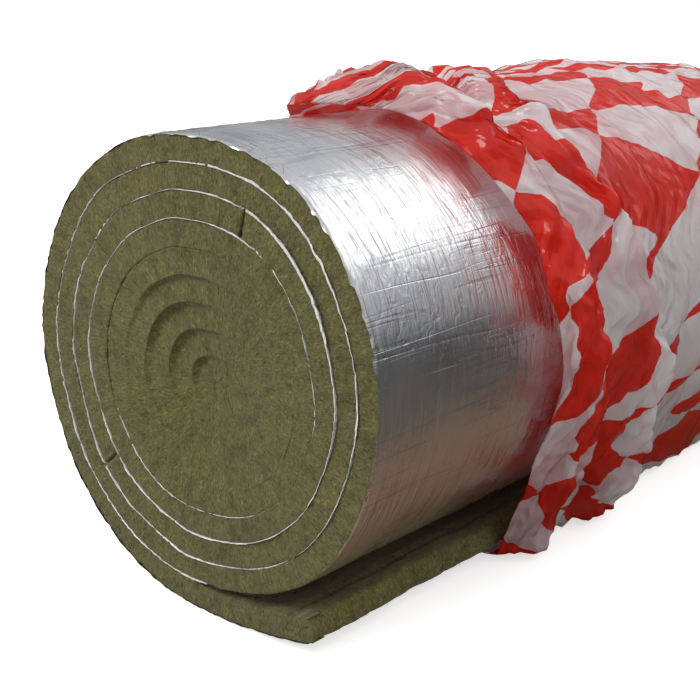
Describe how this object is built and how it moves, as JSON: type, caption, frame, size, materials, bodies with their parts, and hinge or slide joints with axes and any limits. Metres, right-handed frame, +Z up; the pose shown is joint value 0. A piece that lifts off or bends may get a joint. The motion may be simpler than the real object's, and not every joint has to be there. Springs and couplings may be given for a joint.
{
  "type": "insulation roll",
  "caption": "Foil-faced stone wool mat wound into a roll, lying with its free end run out underneath and its packing film gathered back from the open end.",
  "frame": {"origin": "on the floor under the roll's axis, midway along the roll", "axes": "+Y along the roll's axis away from its open end, +X towards the free end of the mat, +Z up"},
  "size_m": [0.6737, 1.0105, 0.6074],
  "materials": {
    "wool": "fibrous, matt olive brown",
    "foil": "bright crinkled foil with a fine scrim",
    "film": "thin milky film printed in red"
  },
  "bodies": {
    "root": {"wool_mat": "wool", "foil_facing": "foil", "packing_film": "film"}
  },
  "joints": []
}
